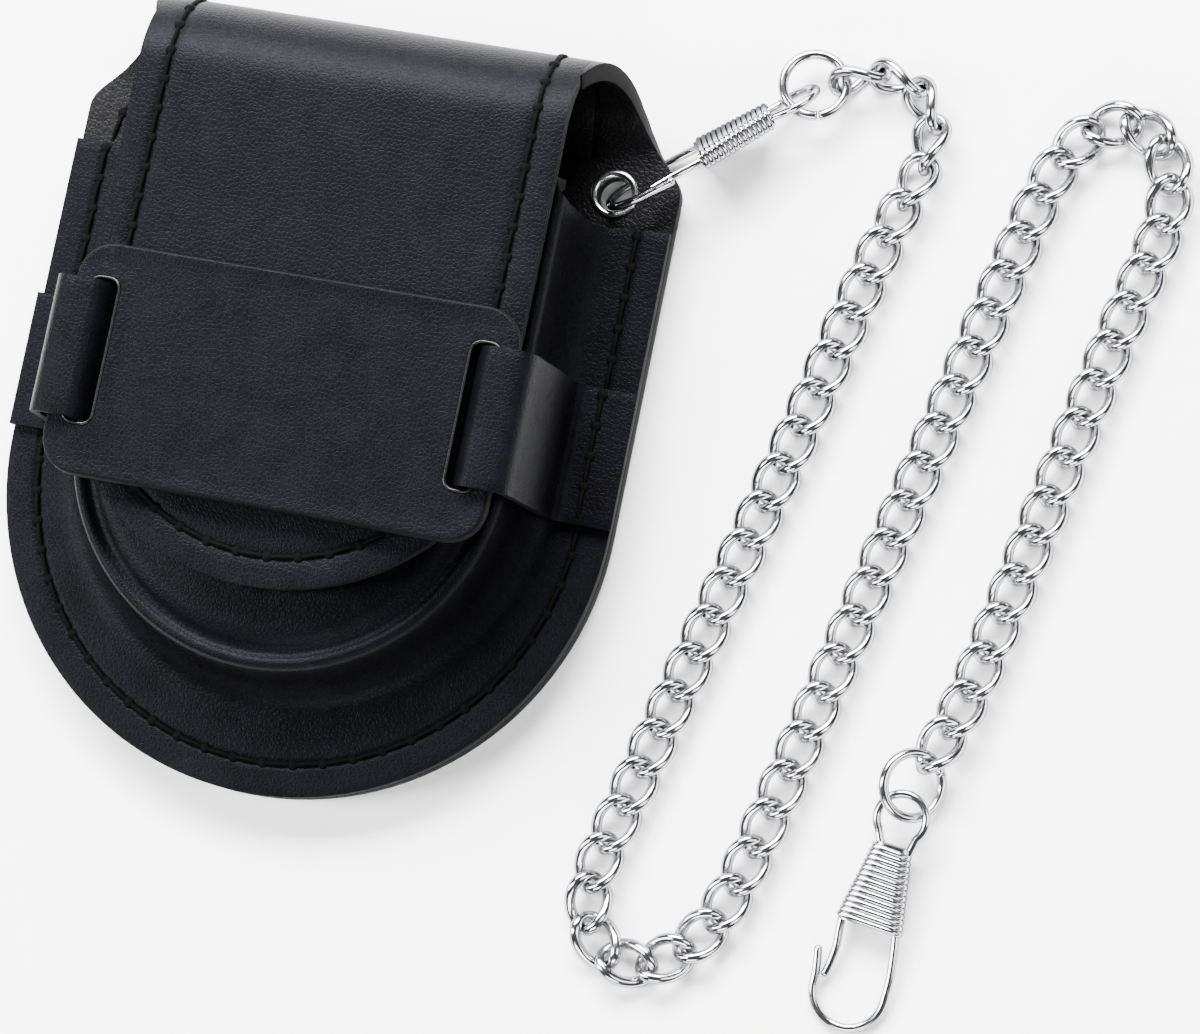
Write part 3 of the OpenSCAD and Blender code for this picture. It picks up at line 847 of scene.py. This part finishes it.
def repeatOn(name, tree, values, places):
    # runs a node group on points, each with its own turn, and keeps the result as a plain mesh
    data = bpy.data.meshes.new(name + "Points")
    data.from_pydata([tuple(p) for p, _ in places], [], [])
    turns = data.attributes.new("turn", "FLOAT_VECTOR", "POINT")
    for i, (_, turn) in enumerate(places):
        turns.data[i].vector = turn
    carrier = bpy.data.objects.new(name + "Carrier", data)
    bpy.context.scene.collection.objects.link(carrier)
    modifier = carrier.modifiers.new(name, "NODES")
    modifier.node_group = tree
    for socket in tree.interface.items_tree:
        if socket.in_out == "INPUT" and socket.name in values:
            modifier[socket.identifier] = values[socket.name]
    graph = bpy.context.evaluated_depsgraph_get()
    graph.update()
    result = bpy.data.meshes.new_from_object(carrier.evaluated_get(graph))
    result.name = name
    bpy.data.objects.remove(carrier)
    if "turn" in result.attributes:
        result.attributes.remove(result.attributes["turn"])
    made = bpy.data.objects.new(name, result)
    bpy.context.scene.collection.objects.link(made)
    return made


# Stitching: rows of points with the way each stitch lies, in millimetres

def turned(along, up):
    x = Vector(along).normalized()
    z = (Vector(up) - Vector(up).dot(x) * x).normalized()
    y = z.cross(x)
    return Matrix((x, y, z)).transposed().to_euler("XYZ")


def stitchRow(path, pitch):
    # path is points with their face's normal; stitches sit end to end along it
    lengths = [0.0]
    for (a, _), (b, _) in zip(path, path[1:]):
        lengths.append(lengths[-1] + (Vector(b) - Vector(a)).length)
    count = max(1, round(lengths[-1] / pitch))
    marks = [lengths[-1] * i / count for i in range(count + 1)]

    def at(s):
        k = max(i for i in range(len(lengths)) if lengths[i] <= s + 1e-9)
        k = min(k, len(path) - 2)
        t = (s - lengths[k]) / max(lengths[k + 1] - lengths[k], 1e-9)
        return [Vector(a).lerp(Vector(b), t) for a, b in zip(path[k], path[k + 1])]

    places = []
    for a, b in zip(marks, marks[1:]):
        (pa, _), (pb, _), (pm, n) = at(a), at(b), at((a + b) / 2)
        wobble = 0.05 * noise.noise(pm * 3)
        side = (pb - pa).normalized().cross(n.normalized())
        places.append((((pa + pb) / 2 + side * wobble) * mm, turned(pb - pa, n)))
    return places


stitches = stitchTree()


def makeStitches(name, rows, node):
    values = {"Length": stitchSize["length"] * mm * stitchSize["overlap"], "Finish": waxedThread,
              "Thread": stitchSize["thread"] * mm, "Lift": stitchSize["lift"] * mm}
    places = [place for row in rows for place in stitchRow(row, stitchSize["pitch"])]
    row = repeatOn(name, stitches, values, places)
    finishPiece(row, "pouch", [waxedThread], node)


def flangeRows():
    z = flangeZ + pocketSize["leather"] - stitchSize["depth"] * 0.35
    r = panelRadius - stitchSize["inset"]
    up = (0, 0, 1)
    low, high = strapMiddle - strapHalf, strapMiddle + strapHalf
    bend = [((x, y, z), up) for x, y in arc((0, 0), r, 180, 360, 90)]
    lower = [((-r, low, z), up)] + bend + [((r, low, z), up)]
    left = [((-r, high, z), up), ((-r, 33.9, z), up)]
    right = [((r, high, z), up), ((r, 33.6, z), up)]
    topZ = panelHigh[2]
    inner = [((-r, 35.0, topZ), up), ((-r + 0.5, 38.5, topZ), up), ((-28.6, 41.4, topZ), up)]
    return [lower, left, right, inner]


def flapRows():
    return [[overFlap(x, along) for x, along in row] for row in flapStitchRows()]


def overFlap(x, s):
    p = overArch(x, s, stitchSize["depth"] * 0.35)
    if s <= archY:
        return (p[0], p[1], p[2] + flapBow(x, s)), (0, 0, 1)
    return p, (0, p[1] - archY, p[2] - archZ)


def strapRows():
    z = strapLow[2] + strapSize["leather"] + 0.02
    r = panelRadius - stitchSize["inset"]
    up = (0, 0, 1)
    low, high = strapMiddle - strapHalf + 0.8, strapMiddle + strapHalf - 0.8
    return [[((side * r, low, z), up), ((side * r, high, z), up)] for side in (-1, 1)]


makeStitches("flangeStitches", flangeRows(), ["flange_stitches"])
makeStitches("flapStitches", flapRows(), ["flap_stitches"])
makeStitches("strapStitches", strapRows(), ["strap_stitches"])
print("stitching made")


# Eyelet: a rolled rim in front and a flat washer behind, turned about the hole's axis

eyeletSize = {"steps": 48, "bore": 1.95}


def turnedRing(name, centre, profile, steps):
    points = []
    for i in range(steps):
        a = 2 * math.pi * i / steps
        for r, z in profile:
            points.append(((centre[0] + r * math.cos(a)) * mm, (centre[1] + r * math.sin(a)) * mm, z * mm))
    ring = meshObject(name, points, netFaces(steps, len(profile), True, True))
    weld(ring)
    return ring


def makeEyelet(size):
    outer = (eyeletHigh[0] - eyeletLow[0]) / 2
    face = panelHigh[2]
    bore = size["bore"]
    crest = arc(((outer + bore) / 2, face), (outer - bore) / 2, 0, 180, 10)
    crest = [(r, face + (z - face) * 0.8) for r, z in crest]
    lip = bore + 0.28
    rim = crest + [(bore, face - 0.5), (bore, panelLow[2]), (lip, panelLow[2]), (lip, face - 0.05)]
    front = turnedRing("eyeletRim", eyeletCentre, rim, size["steps"])
    finishPiece(front, "pouch", [eyeletNickel], ["eyelet_front"])
    wide = (washerHigh[0] - washerLow[0]) / 2
    low, high = washerLow[2], washerHigh[2]
    flat = [(bore, high), (bore, low + 0.1), (bore + 0.15, low), (wide - 0.2, low), (wide, low + 0.15),
            (wide, high)]
    back = turnedRing("eyeletWasher", eyeletCentre, flat, size["steps"])
    finishPiece(back, "pouch", [eyeletNickel], ["eyelet_back"])


makeEyelet(eyeletSize)
print("eyelet made")


# Clips: bent wire hook and eye, a spring gate, and a tapered sleeve of wound wire

clipSize = {
    "wire": 0.95, "gateWire": 0.9, "hookRadius": 3.95, "eyeRadius": 2.7, "eyeY": 19.5,
    "gateX": -2.85, "gateFrom": 6.7, "gateTo": 0.9, "sleeveFrom": 7.2, "sleeveTo": 16.6,
    "sleeveAtHook": 3.8, "sleeveAtEye": 2.2, "sleeveThick": 2.8, "wraps": 14, "wrapFill": 1.06,
    "endRoom": 0.33, "ovalWide": 0.62, "ovalDeep": 0.5, "coreInset": 0.34, "coreRoom": 0.12,
}


def cadAxes(node):
    # middle and main direction of a CAD node's shape
    co = np.array([tuple(v.co) for v in nodes[node].data.vertices])
    co = np.unique(np.round(co, 7), axis=0)
    spread = co - co.mean(0)
    _, axes = np.linalg.eigh(spread.T @ spread)
    return Vector(co.mean(0)), Vector(axes[:, 2])


def clipPlace(gateNode, jointName):
    pivot = Vector(joints[jointName]["pos_m"])
    zAxis = Vector(joints[jointName]["axis"]).normalized()
    middle, along = cadAxes(gateNode)
    if along.dot(pivot - middle) < 0:
        along = -along
    xAxis = along.cross(zAxis).normalized()
    yAxis = zAxis.cross(xAxis)
    turn = Matrix((xAxis, yAxis, zAxis)).transposed()
    local = Vector((clipSize["gateX"], clipSize["gateFrom"], 0)) * mm
    return turn, pivot - turn @ local


def clipWirePath(size):
    hook = size["hookRadius"]
    path = smoothRun([(-4.5, 3.35, 0), (-4.32, 2.5, 0), (-4.08, 1.3, 0), (-hook, 0.1, 0)], 3)[:-1]
    path += [Vector((x, y, 0)) for x, y in arc((0, 0), hook, 180, 360, 28)]
    path += smoothRun([(hook, 0.3, 0), (3.85, 3, 0), (3.3, 6.4, 0), (2.7, 9, 0), (1.35, 16.3, 0)], 4)[:-1]
    path += [Vector((x, y, 0)) for x, y in arc((0, size["eyeY"]), size["eyeRadius"], -38, 218, 34)]
    path += smoothRun([(-1.35, 16.3, 0), (-2.0, 12.5, 0), (-2.6, 9, 0)], 4)
    return path


def sleeveTree():
    # wire wound on an oval former that widens from the eye to the hook
    tree, start, end = newTree("woundSleeve", [
        ("Wraps", "NodeSocketFloat", 14.0), ("From", "NodeSocketFloat", 0.0072),
        ("To", "NodeSocketFloat", 0.0166),
        ("Half width at hook", "NodeSocketFloat", 0.0038), ("Half width at eye", "NodeSocketFloat", 0.0022),
        ("Half thickness", "NodeSocketFloat", 0.0014), ("Wire", "NodeSocketFloat", 0.0007),
        ("Finish", "NodeSocketMaterial", None)])
    line = addNode(tree, "GeometryNodeCurvePrimitiveLine", {}, {"Start": (0, 0, 0), "End": (1, 0, 0)})
    fine = addNode(tree, "GeometryNodeResampleCurve", {}, {"Curve": line.outputs["Curve"], "Count": 420})
    spot = addNode(tree, "GeometryNodeInputPosition")
    part = addNode(tree, "ShaderNodeSeparateXYZ", {}, {0: spot.outputs["Position"]}).outputs["X"]
    turns = addNode(tree, "ShaderNodeMath", {"operation": "MULTIPLY"}, {
        0: start.outputs["Wraps"], 1: 2 * math.pi})
    angle = addNode(tree, "ShaderNodeMath", {"operation": "MULTIPLY"}, {
        0: part, 1: turns.outputs[0]}).outputs[0]
    cosine = addNode(tree, "ShaderNodeMath", {"operation": "COSINE"}, {0: angle}).outputs[0]
    sine = addNode(tree, "ShaderNodeMath", {"operation": "SINE"}, {0: angle}).outputs[0]
    squared = []
    for value, power in ((cosine, clipSize["ovalWide"]), (sine, clipSize["ovalDeep"])):
        size = addNode(tree, "ShaderNodeMath", {"operation": "ABSOLUTE"}, {0: value})
        eased = addNode(tree, "ShaderNodeMath", {"operation": "POWER"}, {0: size.outputs[0], 1: power})
        sign = addNode(tree, "ShaderNodeMath", {"operation": "SIGN"}, {0: value})
        squared.append(addNode(tree, "ShaderNodeMath", {"operation": "MULTIPLY"}, {
            0: eased.outputs[0], 1: sign.outputs[0]}).outputs[0])
    width = addNode(tree, "ShaderNodeMapRange", {}, {
        "Value": part, "From Min": 0.0, "From Max": 1.0,
        "To Min": start.outputs["Half width at hook"], "To Max": start.outputs["Half width at eye"]})
    inset = addNode(tree, "ShaderNodeMath", {"operation": "MULTIPLY"}, {0: start.outputs["Wire"], 1: 0.5})
    wide = addNode(tree, "ShaderNodeMath", {"operation": "SUBTRACT"}, {
        0: width.outputs["Result"], 1: inset.outputs[0]})
    thick = addNode(tree, "ShaderNodeMath", {"operation": "SUBTRACT"}, {
        0: start.outputs["Half thickness"], 1: inset.outputs[0]})
    x = addNode(tree, "ShaderNodeMath", {"operation": "MULTIPLY"}, {0: squared[0], 1: wide.outputs[0]})
    z = addNode(tree, "ShaderNodeMath", {"operation": "MULTIPLY"}, {0: squared[1], 1: thick.outputs[0]})
    y = addNode(tree, "ShaderNodeMapRange", {}, {
        "Value": part, "From Min": 0.0, "From Max": 1.0,
        "To Min": start.outputs["From"], "To Max": start.outputs["To"]})
    wound = addNode(tree, "ShaderNodeCombineXYZ", {}, {
        0: x.outputs[0], 1: y.outputs["Result"], 2: z.outputs[0]})
    shaped = addNode(tree, "GeometryNodeSetPosition", {}, {
        "Geometry": fine.outputs["Curve"], "Position": wound.outputs[0]})
    section = addNode(tree, "GeometryNodeCurvePrimitiveCircle", {}, {
        "Resolution": 10, "Radius": inset.outputs[0]})
    wire = addNode(tree, "GeometryNodeCurveToMesh", {}, {
        "Curve": shaped.outputs["Geometry"], "Profile Curve": section.outputs["Curve"], "Fill Caps": True})
    closeTree(tree, wire.outputs["Mesh"], start, end)
    return tree


sleeves = sleeveTree()


def addCore(piece, size, turn, origin):
    # a plain tapered oval inside the winding, which closes the gaps between the wraps
    rows, steps = 8, 28
    points = []
    for i in range(rows + 1):
        part = i / rows
        half = size["sleeveAtHook"] + (size["sleeveAtEye"] - size["sleeveAtHook"]) * part
        half -= size["coreInset"]
        deep = size["sleeveThick"] / 2 - size["coreInset"]
        length = size["sleeveTo"] - size["sleeveFrom"] - 2 * size["coreRoom"]
        y = size["sleeveFrom"] + size["coreRoom"] + length * part
        for k in range(steps):
            a = 2 * math.pi * k / steps
            c, n = math.cos(a), math.sin(a)
            x = half * math.copysign(abs(c) ** size["ovalWide"], c)
            z = deep * math.copysign(abs(n) ** size["ovalDeep"], n)
            points.append(turn @ (Vector((x, y, z)) * mm) + origin)
    faces = [tuple(range(steps - 1, -1, -1)), tuple(rows * steps + k for k in range(steps))]
    faces += netFaces(rows + 1, steps, True)
    shape = bmesh.new()
    shape.from_mesh(piece.data)
    made = [shape.verts.new(p) for p in points]
    for face in faces:
        shape.faces.new([made[i] for i in face]).smooth = len(face) == 4
    bmesh.ops.recalc_face_normals(shape, faces=shape.faces)
    shape.to_mesh(piece.data)
    shape.free()


def makeClip(which, size):
    turn, origin = clipPlace("clip_" + which + "_gate", "gate_" + which + "_press")
    word = which.capitalize()
    body = "clip_" + which
    zAxis = turn.col[2]
    path = [turn @ (p * mm) + origin for p in clipWirePath(size)]
    wire = tube("clip" + word + "Wire", path, size["wire"] / 2 * mm, 16, Vector(zAxis))
    finishPiece(wire, body, [nickelPlate], [body + "_wire"])
    pitch = (size["sleeveTo"] - size["sleeveFrom"]) / size["wraps"]
    values = {"Wraps": float(size["wraps"]), "From": (size["sleeveFrom"] + size["endRoom"]) * mm,
              "To": (size["sleeveTo"] - size["endRoom"]) * mm, "Half width at hook": size["sleeveAtHook"] * mm,
              "Half width at eye": size["sleeveAtEye"] * mm, "Half thickness": size["sleeveThick"] / 2 * mm,
              "Wire": pitch * size["wrapFill"] * mm, "Finish": nickelPlate}
    sleeve = repeatOn("clip" + word + "Sleeve", sleeves, values, [(origin, turn.to_euler("XYZ"))])
    addCore(sleeve, size, turn, origin)
    finishPiece(sleeve, body, [nickelPlate], [body + "_sleeve"])
    x = size["gateX"]
    gate = [(x - 0.15, size["gateFrom"] + 0.7, 0), (x - 0.1, size["gateFrom"] - 0.5, 0), (x + 0.12, 4.3, 0),
            (x + 0.02, 2.4, 0), (x - 0.2, size["gateTo"] + 0.2, 0)]
    run = [turn @ (p * mm) + origin for p in smoothRun(gate, 4)]
    lever = tube("clip" + word + "Gate", run, size["gateWire"] / 2 * mm, 14, Vector(zAxis))
    finishPiece(lever, "gate_" + which, [nickelPlate], [body + "_gate"])


makeClip("upper", clipSize)
makeClip("lower", clipSize)
print("clips made")


# Rings: round wire bent until its cut ends all but meet

ringSize = {"radius": 3.55, "wire": 1.1, "gap": 2.5, "steps": 72}


def makeRing(which, size, jointName, gapTowards):
    centre = Vector(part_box("ring_" + which)[0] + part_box("ring_" + which)[1]) / 2
    axis = Vector(joints[jointName]["axis"]).normalized()
    across = (gapTowards - gapTowards.dot(axis) * axis).normalized()
    up = axis.cross(across)
    path = []
    for i in range(size["steps"] + 1):
        a = math.radians(size["gap"] / 2 + (360 - size["gap"]) * i / size["steps"])
        path.append(centre + size["radius"] * mm * (math.cos(a) * across + math.sin(a) * up))
    ring = tube("ring" + which.capitalize(), path, size["wire"] / 2 * mm, 18, axis, capRound=False)
    finishPiece(ring, "ring_" + which, [nickelPlate], ["ring_" + which])


makeRing("upper", ringSize, "ring_upper_turn", Vector((0.3, -1, 0)))
makeRing("lower", ringSize, "clip_lower_swing", Vector((1, 0.5, 0)))
print("rings made")


# Chain: each link is laid on the place and lie of its CAD link

linkSize = {"Half length": 3.0, "Half width": 2.07, "Wire": 1.24}
linkShape = {"twist": 90, "roundness": 0.9}
links = linkTree()


def linkPlaces(node):
    shape = bmesh.new()
    shape.from_mesh(nodes[node].data)
    bmesh.ops.remove_doubles(shape, verts=shape.verts, dist=mergeGap)
    shape.verts.ensure_lookup_table()
    seen = set()
    places = []
    for vertex in shape.verts:
        if vertex.index in seen:
            continue
        island = []
        waiting = [vertex]
        seen.add(vertex.index)
        while waiting:
            v = waiting.pop()
            island.append(v.co.copy())
            for edge in v.link_edges:
                other = edge.other_vert(v)
                if other.index not in seen:
                    seen.add(other.index)
                    waiting.append(other)
        co = np.array([tuple(c) for c in island])
        middle = co.mean(0)
        _, axes = np.linalg.eigh((co - middle).T @ (co - middle))
        along, across = Vector(axes[:, 2]), Vector(axes[:, 1])
        turn = Matrix((along, across, along.cross(across))).transposed()
        places.append((Vector(middle), turn.to_euler("XYZ")))
    shape.free()
    return places


def makeChain(size):
    values = {key: value * mm for key, value in size.items()}
    values.update({"Twist": math.radians(linkShape["twist"]), "Roundness": linkShape["roundness"],
                   "Finish": nickelPlate})
    for node in sorted(n for n in nodes if n.startswith("chain_")):
        places = linkPlaces(node)
        stretch = repeatOn("chainLinks" + node[-2:], links, values, places)
        finishPiece(stretch, node, [nickelPlate], [node])


makeChain(linkSize)
print("chain made")


# Floor, light and camera

studio = {
    "floor": "#f8f8f7", "world": 0.1,
    "lights": [
        ("backSoftbox", (-0.14, 0.56, 0.52), (0.02, 0, 0), (0.8, 0.36), 62),
        ("leftStrip", (-0.5, -0.12, 0.45), (0.0, -0.02, 0), (0.2, 0.6), 13),
        ("rightSoftbox", (0.62, 0.0, 0.5), (0.04, 0, 0), (0.3, 0.5), 4),
        ("frontFill", (0.1, -0.7, 0.45), (0.03, 0, 0), (0.6, 0.2), 8),
    ],
}
cameraPlace = {"target": (32.5, 2.7, 0), "slope": (0.22, -0.11), "height": 450, "roll": 10, "width": 133.3}


def makeFloor():
    corners = [(-3, -3, 0), (3, -3, 0), (3, 3, 0), (-3, 3, 0)]
    floor = meshObject("paleFloor", corners, [(0, 1, 2, 3)])
    floor.location.z = -0.02 * mm
    material, tree, shader, place = startMaterial("whiteSweepPaper")
    paper = addNode(tree, "ShaderNodeTexNoise", {}, {"Vector": place, "Scale": 1 / (4 * mm), "Detail": 4.0})
    tone = addNode(tree, "ShaderNodeMix", {"data_type": "RGBA"}, {
        "Factor": paper.outputs["Fac"], 6: linear(studio["floor"]), 7: linear("#ffffff")})
    tree.links.new(tone.outputs[2], shader.inputs["Base Color"])
    shader.inputs["Roughness"].default_value = 0.9
    floor.data.materials.append(material)


def makeLight(name, place, aim, size, power):
    data = bpy.data.lights.new(name, "AREA")
    data.shape = "RECTANGLE"
    data.size, data.size_y = size
    data.energy = power
    light = bpy.data.objects.new(name, data)
    light.location = place
    light.rotation_euler = (Vector(aim) - Vector(place)).to_track_quat("-Z", "Y").to_euler()
    bpy.context.scene.collection.objects.link(light)


def makeWorld():
    world = bpy.data.worlds.new("softStudio")
    world.use_nodes = True
    tree = world.node_tree
    background = tree.nodes["Background"]
    background.inputs["Color"].default_value = linear("#eef1f6")
    background.inputs["Strength"].default_value = studio["world"]
    bpy.context.scene.world = world


def makeCamera(place):
    data = bpy.data.cameras.new("camera")
    camera = bpy.data.objects.new("camera", data)
    bpy.context.scene.collection.objects.link(camera)
    target = Vector(place["target"]) * mm
    back = Vector((place["slope"][0], place["slope"][1], 1)) * place["height"] * mm
    roll = math.radians(place["roll"])
    right = Vector((math.cos(roll), math.sin(roll), 0))
    forward = -back.normalized()
    right = (right - right.dot(forward) * forward).normalized()
    up = right.cross(forward)
    camera.location = target + back
    camera.rotation_euler = Matrix((right, up, -forward)).transposed().to_euler()
    sensor = 36
    data.sensor_width = sensor
    data.lens = sensor * back.length / (place["width"] * mm)
    data.clip_start = 0.01
    bpy.context.scene.camera = camera


makeFloor()
makeWorld()
for light in studio["lights"]:
    makeLight(*light)
makeCamera(cameraPlace)
print("studio made")
